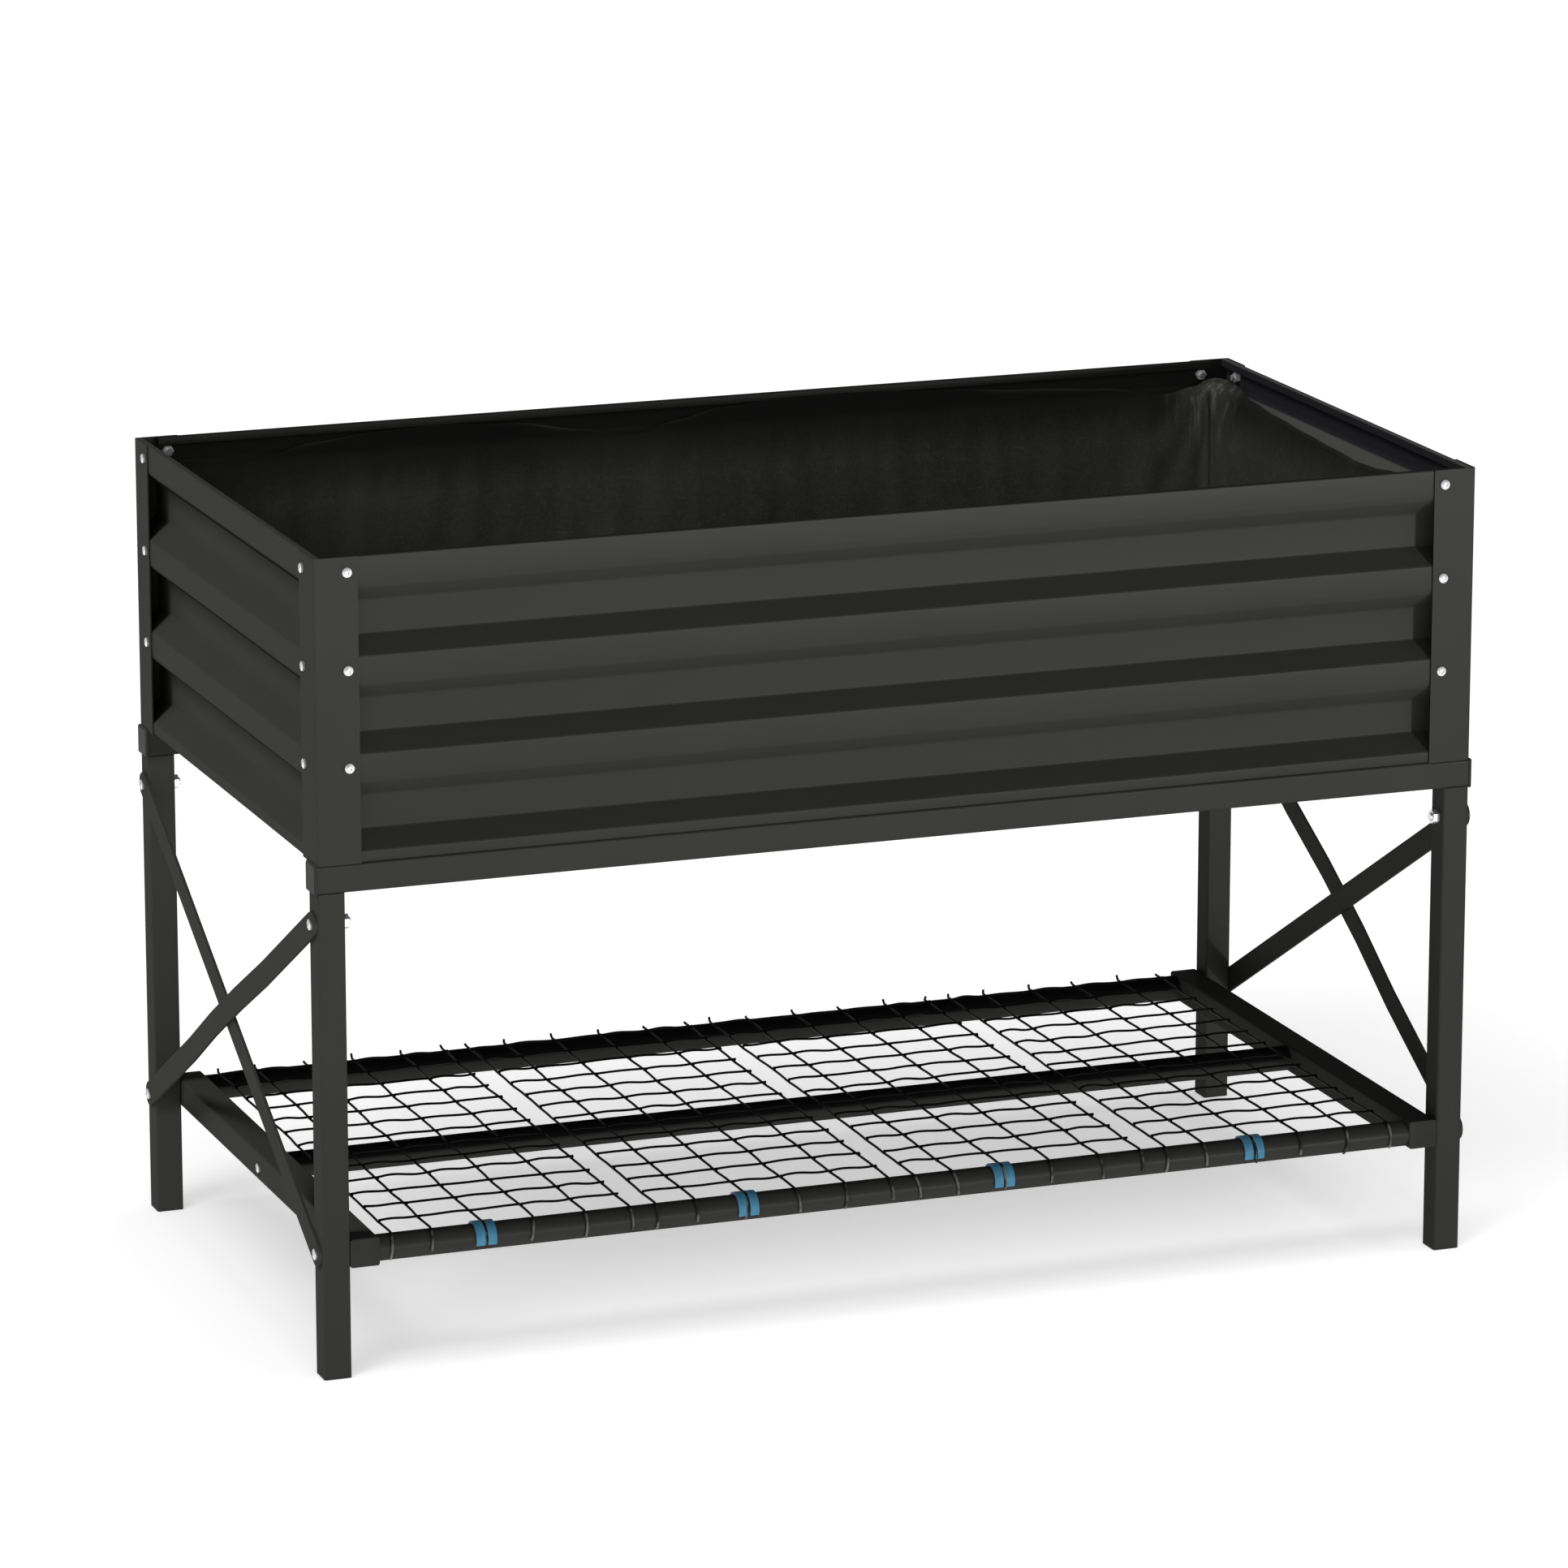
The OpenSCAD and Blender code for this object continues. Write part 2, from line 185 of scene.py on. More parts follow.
def coat(name, dark, light, metal, rough):
    """Matt powder coat: fine orange peel, slow cloudiness, a little dust; painted shade inside the short ends, under
    their folds and on top of the rear shelf tubes.
    """
    m = Mat(name)
    m.set(Specular_IOR_Level=0.0, Metallic=metal, Specular_Tint=(0.5, 0.5, 0.5, 1.0))
    cloud = m.noise(7.0, 4.0, 0.55)
    fine = m.noise(900.0, 2.0, 0.5)
    speck = m.voronoi(520.0)
    base = m.ramp(cloud, [(0.35, dark), (0.68, light)])
    dust = m.span(speck, 0.0, 0.09, 0.35, 0.0)
    dust = m.math("MULTIPLY", dust, m.span(m.noise(16.0, 2.0), 0.5, 0.75, 0.0, 1.0))
    base = m.mix(dust, base, tuple(min(1, c * 1.6) for c in light[:3]) + (1.0,))
    # painted shade: upright faces inside the short ends, and the undersides of the folds on their outer faces, are
    # darkened by a normal mask to stand in for shade
    geo = m.node("ShaderNodeNewGeometry")
    place, normal = m.node("ShaderNodeSeparateXYZ"), m.node("ShaderNodeSeparateXYZ")
    m.link(m.coord, place.inputs[0])
    m.link(geo.outputs["True Normal"], normal.inputs[0])
    outward = m.math("MULTIPLY", place.outputs["X"], normal.outputs["X"])
    high = m.span(place.outputs["Z"], 0.515, 0.52, 0.0, 1.0)
    inner = m.math("MULTIPLY", m.span(outward, -0.5, -0.45, 1.0, 0.0), high)
    under = m.math("MULTIPLY", m.span(outward, 0.15, 0.25, 0.0, 1.0), m.span(normal.outputs["Z"], -0.6, -0.35, 1.0, 0.0))
    under = m.math("MULTIPLY", under, high)
    painted_end_shade = m.math("MAXIMUM", inner, m.math("MULTIPLY", under, 1.0))
    base = m.mix(painted_end_shade, base, lin("#1d1d1f"))
    # painted shade: the upper faces of the shelf tubes behind the front one are darkened, as the dark underside of
    # the box above shows in them
    shelf = m.math("MULTIPLY", m.span(place.outputs["Z"], 0.148, 0.15, 1.0, 0.0), m.span(place.outputs["Z"], 0.108, 0.11, 0.0, 1.0))
    shelf = m.math("MULTIPLY", shelf, m.span(place.outputs["Y"], -0.05, -0.04, 0.0, 1.0))
    shelf = m.math("MULTIPLY", shelf, m.span(m.math("ABSOLUTE", place.outputs["X"], 0.0), 0.5515, 0.5525, 1.0, 0.0))
    m.color(m.mix(m.math("MULTIPLY", shelf, m.span(normal.outputs["Z"], 0.05, 0.3, 0.0, 0.9)), base, lin("#121213")))
    peel = m.noise(330.0, 2.0, 0.4)
    m.rough(m.math("ADD", m.span(cloud, 0.3, 0.7, rough - 0.03, rough + 0.04), m.span(fine, 0.3, 0.7, -0.02, 0.02)))
    m.bump((peel, 0.14, 0.0002), (fine, 0.15, 0.00005))
    return m.m


def make_materials():
    out = {}
    out["frame_coat"] = coat("frame_coat", lin("#383837"), lin("#3a3a38"), 0.15, 0.36)
    out["panel_coat"] = coat("panel_coat", lin("#393938"), lin("#3b3b39"), 0.15, 0.38)
    out["hidden_coat"] = coat("hidden_coat", lin("#1c1c1c"), lin("#222221"), 0.1, 0.5)

    m = Mat("cap_plastic")
    m.set(Specular_IOR_Level=0.04)
    grain = m.voronoi(1500.0)
    cloud = m.noise(30.0, 3.0)
    m.color(m.ramp(cloud, [(0.35, lin("#313130")), (0.7, lin("#373736"))]))
    m.rough(m.span(cloud, 0.3, 0.7, 0.42, 0.52))
    m.bump((grain, 0.25, 0.00006))
    out["cap_plastic"] = m.m

    m = Mat("zinc")
    m.set(Metallic=0.75, Specular_IOR_Level=0.6)
    cloud = m.noise(300.0, 3.0, 0.6)
    flakes = m.voronoi(900.0, out="Color")
    base = m.ramp(cloud, [(0.3, lin("#dcdfe2")), (0.7, lin("#ffffff"))])
    m.color(m.mix(0.12, base, flakes))
    m.rough(m.span(cloud, 0.3, 0.7, 0.3, 0.42))
    m.bump((m.noise(1800.0, 2.0), 0.12, 0.00004))
    out["zinc"] = m.m

    m = Mat("wire_coat")
    m.set(Specular_IOR_Level=0.05)
    cloud = m.noise(45.0, 3.0)
    base = m.ramp(cloud, [(0.35, lin("#090909")), (0.7, lin("#0f0f0e"))])
    # painted highlight: the wire hooks bent over the front tube are lightened in noisy patches to stand in for
    # glints
    place = m.node("ShaderNodeSeparateXYZ")
    m.link(m.coord, place.inputs[0])
    front = m.span(place.outputs["Y"], -0.3005, -0.3035, 0.0, 1.0)
    hook_glint = m.span(m.noise(70.0, 2.0), 0.42, 0.6, 0.15, 1.0)
    m.color(m.mix(m.math("MULTIPLY", front, hook_glint), base, lin("#6e6e6c")))
    m.rough(m.span(cloud, 0.3, 0.7, 0.36, 0.48))
    m.bump((m.noise(1300.0, 2.0), 0.2, 0.00007))
    out["wire_coat"] = m.m

    m = Mat("clip_plastic")
    m.set(Specular_IOR_Level=0.15, Subsurface_Weight=0.1, Subsurface_Scale=0.002)
    cloud = m.noise(60.0, 3.0, 0.5)
    streak = m.noise(260.0, 2.0, 0.5, vec=m.scaled(1.0, 0.12, 0.12))
    base = m.ramp(cloud, [(0.3, lin("#3f7c9c")), (0.7, lin("#4a89a9"))])
    m.color(m.mix(m.span(streak, 0.35, 0.7, 0.0, 0.35), base, lin("#6199b3")))
    m.rough(m.span(cloud, 0.3, 0.7, 0.36, 0.5))
    m.bump((streak, 0.25, 0.0002), (m.noise(1500.0, 2.0), 0.12, 0.00005))
    out["clip_plastic"] = m.m

    # non-woven cloth: short crossed fibres, calendered dots, slow shade changes
    m = Mat("liner_sheet")
    m.set(Specular_IOR_Level=0.1, Sheen_Weight=0.1, Sheen_Roughness=0.5, Sheen_Tint=lin("#8a8a86"))
    cloud = m.noise(4.0, 4.0, 0.6)
    f1 = m.noise(420.0, 4.0, 0.6, vec=m.scaled(1.0, 0.25, 0.3), distortion=1.2)
    f2 = m.noise(380.0, 4.0, 0.6, vec=m.scaled(0.25, 1.0, 1.1), distortion=1.2)
    fibre = m.math("MAXIMUM", f1, f2)
    dots = m.span(m.voronoi(420.0), 0.0, 0.35, 0.0, 1.0)
    base = m.ramp(cloud, [(0.3, lin("#242423")), (0.72, lin("#363632"))])
    base = m.mix(m.span(fibre, 0.5, 0.8, 0.0, 0.5), base, lin("#474742"))
    place = m.node("ShaderNodeSeparateXYZ")
    m.link(m.coord, place.inputs[0])
    # painted shade: the bag is darkened towards its top edge, under the rim, except at the gathered back right
    # corner
    top = m.span(place.outputs["Z"], 0.745, 0.796, 0.0, 0.93)
    near = m.node("ShaderNodeVectorMath", operation="DISTANCE")
    near.inputs[1].default_value = (0.586, 0.284, 0.79)
    m.link(m.coord, near.inputs[0])
    gather = m.span(near.outputs["Value"], 0.02, 0.07, 1.0, 0.0)
    top = m.math("MULTIPLY", top, m.math("SUBTRACT", 1.0, gather))
    # painted highlight: pale streaks on the gathered cloth at the back right corner
    streak = m.noise(130.0, 3.0, 0.6, vec=m.scaled(1.0, 1.0, 0.1))
    glint = m.math("MULTIPLY", gather, m.span(streak, 0.5, 0.7, 0.0, 0.4))
    base = m.mix(top, base, lin("#060606"))
    m.color(m.mix(glint, base, lin("#74746e")))
    m.rough(m.span(fibre, 0.4, 0.8, 0.5, 0.7))
    m.bump((fibre, 0.35, 0.0004), (dots, 0.2, 0.0002))
    out["liner_sheet"] = m.m
    return out


MATS = make_materials()
for name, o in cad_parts.items():
    for s in o.material_slots:
        if s.material is not None:
            s.material = MATS[s.material.name.split(".")[0]]


# ---- mesh helpers ------------------------------------------------------------------
def mesh_object(name, verts, faces, material, smooth=True, body="root", slot=None):
    me = bpy.data.meshes.new(name)
    me.from_pydata([tuple(v) for v in verts], [], [tuple(f) for f in faces])
    me.validate()
    me.update()
    o = bpy.data.objects.new(name, me)
    scene.collection.objects.link(o)
    me.materials.append(MATS[material])
    if smooth:
        me.shade_smooth()
    return o


def finish_piece(o, slot, *nodes):
    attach(o, "root")
    if nodes:
        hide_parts(*nodes)
    return o


def tube(verts, faces, path, r, sides=8):
    """Adds a closed round tube along path to the lists."""
    path = np.asarray(path, float)
    n = len(path)
    t = np.gradient(path, axis=0)
    t /= np.linalg.norm(t, axis=1)[:, None]
    ref = np.array([0.0, 0, 1]) if abs(t[0][2]) < 0.8 else np.array([0.0, 1, 0])
    u = np.cross(t[0], ref)
    u /= np.linalg.norm(u)
    base = len(verts)
    for i in range(n):
        u = u - t[i] * (u @ t[i])
        u /= np.linalg.norm(u)
        w = np.cross(t[i], u)
        for k in range(sides):
            a = 2 * math.pi * k / sides
            verts.append(path[i] + r * (math.cos(a) * u + math.sin(a) * w))
    for i in range(n - 1):
        for k in range(sides):
            a, b = base + i * sides + k, base + i * sides + (k + 1) % sides
            faces.append((a, b, b + sides, a + sides))
    for i, flip in ((0, True), (n - 1, False)):
        c = len(verts)
        out = -t[0] if flip else t[-1]
        verts.append(path[i] + out * r * 0.35)
        for k in range(sides):
            a, b = base + i * sides + k, base + i * sides + (k + 1) % sides
            faces.append((b, a, c) if flip else (a, b, c))


def smooth_noise(rng, n, amp, knots):
    """Slow random wander of n samples."""
    k = rng.normal(0, 1, knots + 3)
    x = np.linspace(0, knots, n)
    i = np.floor(x).astype(int)
    f = x - i
    f = f * f * (3 - 2 * f)
    return amp * (k[i] * (1 - f) + k[i + 1] * f)


# ---- shelf mesh -----------------------------------------------------------------------
LONG_X = np.array([0, 41, 94.5, 146.5, 200, 246.5]) / 1000
CROSS_Y = (9.5 + np.arange(-6, 7) * 45.15) / 1000
HOOK_R = SHELF_R + WIRE + 0.0002
LONG_Z = SHELF_Z + HOOK_R
CROSS_Z = LONG_Z + 2 * WIRE - 0.0004


def net(k):
    rng = np.random.default_rng(40 + k)
    x0 = -0.537 + 0.2737 * k
    verts, faces = [], []
    nx, nc = len(LONG_X), len(CROSS_Y)
    # where each pair of wires meets, pulled a little out of line as in rolled net
    jx = np.tile(LONG_X, (nc, 1)) + rng.normal(0, 0.0007, (nc, nx))
    jy = np.tile(CROSS_Y[:, None], (1, nx)) + rng.normal(0, 0.0009, (nc, nx))
    jy += np.linspace(-1, 1, nx)[None, :] * rng.normal(0, 0.0012, (nc, 1))
    jz = rng.normal(0, 0.0003, (nc, nx))

    def through(t, knots, values):
        """Smooth curve through the knots."""
        i = np.clip(np.searchsorted(knots, t) - 1, 0, len(knots) - 2)
        f = (t - knots[i]) / (knots[i + 1] - knots[i])
        g = np.clip(f, 0, 1)
        g = g * g * (3 - 2 * g)
        return values[i] * (1 - g) + values[i + 1] * g, f

    for j in range(nx):
        hook = []
        x = x0 + LONG_X[j]
        lean = rng.normal(0, 0.0012)
        tip = math.radians(rng.uniform(20, 55))
        for a in np.linspace(math.pi + tip, math.pi / 2, 13)[:-1]:
            hook.append((x + lean * (a - math.pi / 2), -LY + HOOK_R * math.cos(a), SHELF_Z + HOOK_R * math.sin(a)))
        y = np.linspace(-LY, 0.2955, 105)
        kn = np.concatenate(([-LY], CROSS_Y, [0.31]))
        vx = np.concatenate(([LONG_X[j]], jx[:, j], [LONG_X[j]]))
        xs, f = through(y, kn, vx)
        vz = np.concatenate(([0], jz[:, j], [0]))
        zs, _ = through(y, kn, vz)
        inside = (y > CROSS_Y[0]) & (y < CROSS_Y[-1])
        wave = np.where(inside, 0.5 + 0.5 * np.cos(2 * math.pi * f), 0.0)
        z = LONG_Z + np.maximum(zs, 0) * 0.5 - 0.00035 * wave
        over = np.minimum(np.abs(y + LY), np.minimum(np.abs(y), np.abs(y - LY)))
        z = np.where(over < 0.016, np.maximum(z, LONG_Z), z - 0.0005 * np.sin(np.clip((over - 0.016) / 0.24, 0, 1) * math.pi))
        pts = hook + [(x0 + a, b, c) for a, b, c in zip(xs, y, z)]
        rise, side = rng.choice([0.0004, 0.0018, 0.0026, 0.0036]) + rng.uniform(0, 0.0008), rng.normal(0, 0.0010)
        last = pts[-1]
        for q in (0.25, 0.5, 0.75, 1.0):
            pts.append((last[0] + side * q, last[1] + 0.0042 * q, last[2] + rise * q ** 1.4))
        tube(verts, faces, pts, WIRE, 8)
    for c in range(nc):
        x = np.linspace(-0.0012, LONG_X[-1] + 0.0012, 61)
        kn = np.concatenate(([-0.004], jx[c], [LONG_X[-1] + 0.004]))
        ys, f = through(x, kn, np.concatenate(([jy[c, 0]], jy[c], [jy[c, -1]])))
        i = np.clip(np.searchsorted(kn, x) - 1, 0, len(kn) - 2)
        inside = (i > 0) & (i < len(kn) - 2)
        amp = np.concatenate(([0], 0.0003 + rng.normal(0, 0.0003, nx - 1), [0]))
        swing = np.concatenate(([0], rng.normal(0.0, 0.0006, nx - 1), [0]))
        hump = np.where(inside, np.sin(math.pi * np.clip(f, 0, 1)), 0)
        bend = np.concatenate(([0], rng.normal(0.0004, 0.0004, nx - 1), [0]))
        z = CROSS_Z + amp[i] * hump + bend[i] * np.where(inside, np.sin(2 * math.pi * np.clip(f, 0, 1)), 0)
        y = ys + swing[i] * hump
        tube(verts, faces, np.stack([x0 + x, y, z], 1), WIRE, 8)
    # weld nuggets
    ball = [(math.cos(a) * math.cos(b), math.sin(a) * math.cos(b), math.sin(b)) for b in (-0.9, 0.0, 0.9) for a in np.linspace(0, 2 * math.pi, 8, endpoint=False)]
    for c in range(nc):
        for j in range(nx):
            s = len(verts)
            ctr = np.array((x0 + jx[c, j], jy[c, j], LONG_Z + WIRE - 0.0002))
            verts.append(ctr - (0, 0, 0.0016))
            verts.append(ctr + (0, 0, 0.0016))
            verts.extend(ctr + np.array(p) * (0.00165, 0.00165, 0.0014) for p in ball)
            for q in range(8):
                n = (q + 1) % 8
                faces.append((s, s + 2 + n, s + 2 + q))
                faces.append((s + 1, s + 18 + q, s + 18 + n))
                for w in (0, 8):
                    faces.append((s + 2 + w + q, s + 2 + w + n, s + 10 + w + n, s + 10 + w + q))
    o = mesh_object(f"shelf_net_{k + 1}", verts, faces, "wire_coat")
    return finish_piece(o, "wire_coat", f"mesh_panel_{k + 1}")


for k in range(4):
    net(k)


# ---- corrugated panels with rolled bends ---------------------------------------------------
def profile():
    """Outer face of the sheet as (depth inwards, height, bend radius)."""
    flat, opening, deep = 0.0169, 0.0342, 0.020
    p = [(0.014, BOX_Z, 0), (0.0, BOX_Z, 0.0018)]
    for i in (2, 1, 0):
        c = H - FIRST_C - i * PITCH
        p += [(0, c - opening, 0.0035), (deep, c - flat, 0.003), (deep, c + flat, 0.004), (0, c + opening, 0.011)]
    p += [(0, H, 0.0014), (0.007, H, 0.0014), (0.007, H - 0.008, 0)]
    return p


def rounded(points):
    """Polyline with each corner replaced by an arc."""
    out = []
    for i, (a, b, r) in enumerate(points):
        p = np.array((a, b))
        if r == 0 or i in (0, len(points) - 1):
            out.append(p)
            continue
        q, s = np.array(points[i - 1][:2]), np.array(points[i + 1][:2])
        d1, d2 = (q - p) / np.linalg.norm(q - p), (s - p) / np.linalg.norm(s - p)
        half = math.acos(np.clip(d1 @ d2, -1, 1)) / 2
        cut = r / math.tan(half)
        cut = min(cut, 0.48 * np.linalg.norm(q - p), 0.48 * np.linalg.norm(s - p))
        r = cut * math.tan(half)
        mid = (d1 + d2) / np.linalg.norm(d1 + d2)
        ctr = p + mid * r / math.sin(half)
        a1, a2 = p + d1 * cut - ctr, p + d2 * cut - ctr
        t1, t2 = math.atan2(a1[1], a1[0]), math.atan2(a2[1], a2[0])
        dt = (t2 - t1 + math.pi) % (2 * math.pi) - math.pi
        n = 7
        for q_ in range(n + 1):
            t = t1 + dt * q_ / n
            out.append(ctr + r * np.array((math.cos(t), math.sin(t))))
    return np.array(out)


def panel(name, node, length, origin, along, inward, seed):
    rng = np.random.default_rng(seed)
    pts = rounded(profile())
    d = np.gradient(pts, axis=0)
    d /= np.linalg.norm(d, axis=1)[:, None]
    inner = pts + SHEET * np.stack([d[:, 1], -d[:, 0]], 1)
    n = max(24, int(length / 0.02))
    s = np.linspace(-length / 2, length / 2, n)
    wob = np.zeros((n, len(pts)))
    for _ in range(5):
        wob += rng.normal(0, 0.00006) * np.cos(2 * math.pi * (s[:, None] * rng.uniform(0.8, 4.2) + pts[None, :, 1] * rng.uniform(-8, 8) + rng.uniform(0, 1)))
    wob *= np.clip((length / 2 - np.abs(s)) / 0.08, 0, 1)[:, None]
    wob = np.clip(wob + 0.00009, 0, 0.0003)
    origin, along, inward = (np.array(v, float) for v in (origin, along, inward))
    loop = len(pts) * 2
    verts = []
    for i in range(n):
        for prof in (pts, inner[::-1]):
            w = wob[i] if prof is pts else wob[i][::-1]
            for (a, z), q in zip(prof, w):
                verts.append(origin + along * s[i] + inward * (a + q) + np.array((0, 0, z)))
    faces = []
    flip = np.cross(along, inward)[2] < 0
    for i in range(n - 1):
        for k in range(loop):
            a, b = i * loop + k, i * loop + (k + 1) % loop
            f = (a, b, b + loop, a + loop)
            faces.append(f[::-1] if flip else f)
    m = len(pts)
    for i, end in ((0, False), (n - 1, True)):
        for k in range(m - 1):
            a, b = i * loop + k, i * loop + k + 1
            c, e = i * loop + loop - 2 - k, i * loop + loop - 1 - k
            f = (a, b, c, e)
            faces.append(f if (end != flip) else f[::-1])
    o = mesh_object(name, verts, faces, "panel_coat")
    o.data.set_sharp_from_angle(angle=math.radians(38))
    bm = bmesh.new()
    bm.from_mesh(o.data)
    bmesh.ops.recalc_face_normals(bm, faces=bm.faces)
    bm.to_mesh(o.data)
    bm.free()
    return finish_piece(o, "panel_coat", node)


IN = 0.0227
long_l, side_l = 2 * (HX - IN) - 0.0008, 2 * (HY - ANGLE_T) - 0.0006
panel("wall_front", "panel_front", long_l, (0, -HY + ANGLE_T, 0), (1, 0, 0), (0, 1, 0), 1)
panel("wall_back", "panel_back", long_l, (0, HY - ANGLE_T, 0), (1, 0, 0), (0, -1, 0), 2)
panel("wall_left", "panel_left", side_l, (-HX + ANGLE_T, 0, 0), (0, 1, 0), (1, 0, 0), 3)
panel("wall_right", "panel_right", side_l, (HX - ANGLE_T, 0, 0), (0, 1, 0), (-1, 0, 0), 4)

# ---- liner bag -------------------------------------------------------------------------------
BX, BY, BZ = 0.5838, 0.2818, 0.5216
BACK = [(-0.586, 0.797), (-0.554, 0.797), (-0.510, 0.794), (-0.475, 0.795), (-0.422, 0.803), (-0.351, 0.810), (-0.280, 0.812), (-0.208, 0.808), (-0.135, 0.798), (-0.081, 0.790), (-0.026, 0.799), (0.029, 0.809), (0.103, 0.814), (0.177, 0.814), (0.270, 0.810), (0.374, 0.803), (0.460, 0.799), (0.520, 0.791), (0.560, 0.796), (0.586, 0.805)]
RIGHT = [(-0.284, 0.797), (-0.209, 0.796), (-0.174, 0.791), (-0.121, 0.7855), (-0.073, 0.785), (-0.02, 0.7865), (0.04, 0.789), (0.12, 0.792), (0.20, 0.795), (0.25, 0.800), (0.284, 0.805)]
FRONT = [(-0.586, 0.794), (-0.46, 0.801), (-0.30, 0.793), (-0.16, 0.802), (0.0, 0.796), (0.15, 0.803), (0.33, 0.792), (0.47, 0.799), (0.586, 0.787)]
LEFT = [(-0.284, 0.794), (-0.17, 0.787), (-0.04, 0.797), (0.10, 0.789), (0.2, 0.798), (0.284, 0.797)]


def curve(table, t):
    """Smooth interpolation of a table of (position, value)."""
    p = np.array(table)
    i = int(np.clip(np.searchsorted(p[:, 0], t) - 1, 0, len(p) - 2))
    f = np.clip((t - p[i, 0]) / (p[i + 1, 0] - p[i, 0]), 0, 1)
    f = f * f * (3 - 2 * f)
    return float(p[i, 1] * (1 - f) + p[i + 1, 1] * f)


def liner_shell():
    nx, ny, nz = 116, 56, 28
    index, verts, grid = {}, [], []

    def vert(i, j, k):
        key = (i, j, k)
        if key not in index:
            x, y = BX * (2 * i / nx - 1), BY * (2 * j / ny - 1)
            if k == 0:
                z = BZ
            else:
                tops = []
                if j == ny: tops.append(curve(BACK, x))
                if j == 0: tops.append(curve(FRONT, x))
                if i == nx: tops.append(curve(RIGHT, y))
                if i == 0: tops.append(curve(LEFT, y))
                z = BZ + (sum(tops) / len(tops) - BZ) * k / nz
            index[key] = len(verts)
            verts.append((x, y, z))
            grid.append(key)
        return index[key]

    faces = []
    for i in range(nx):
        for j in range(ny):
            faces.append((vert(i, j, 0), vert(i + 1, j, 0), vert(i + 1, j + 1, 0), vert(i, j + 1, 0)))
    for k in range(nz):
        for i in range(nx):
            faces.append((vert(i, 0, k), vert(i, 0, k + 1), vert(i + 1, 0, k + 1), vert(i + 1, 0, k)))
            faces.append((vert(i, ny, k), vert(i + 1, ny, k), vert(i + 1, ny, k + 1), vert(i, ny, k + 1)))
        for j in range(ny):
            faces.append((vert(0, j, k), vert(0, j + 1, k), vert(0, j + 1, k + 1), vert(0, j, k + 1)))
            faces.append((vert(nx, j, k), vert(nx, j, k + 1), vert(nx, j + 1, k + 1), vert(nx, j + 1, k)))
    return np.array(verts), faces, np.array(grid), (nx, ny, nz)


def waves(seed, count, low, high):
    rng = np.random.default_rng(seed)
    return [(rng.uniform(low, high) * np.array((math.cos(a), math.sin(a))), rng.uniform(0, 6.28), rng.normal(0, 1)) for a in rng.uniform(0, math.pi, count)]


def field(ws, u, v):
    return sum(a * np.sin(2 * math.pi * (k[0] * u + k[1] * v) + p) for k, p, a in ws) / math.sqrt(len(ws))


def inward_of(co):
    """Distances to the nearest wall across x and to the nearest wall across y."""
    dx, dy = BX - np.abs(co[:, 0]), BY - np.abs(co[:, 1])
    return dx, dy


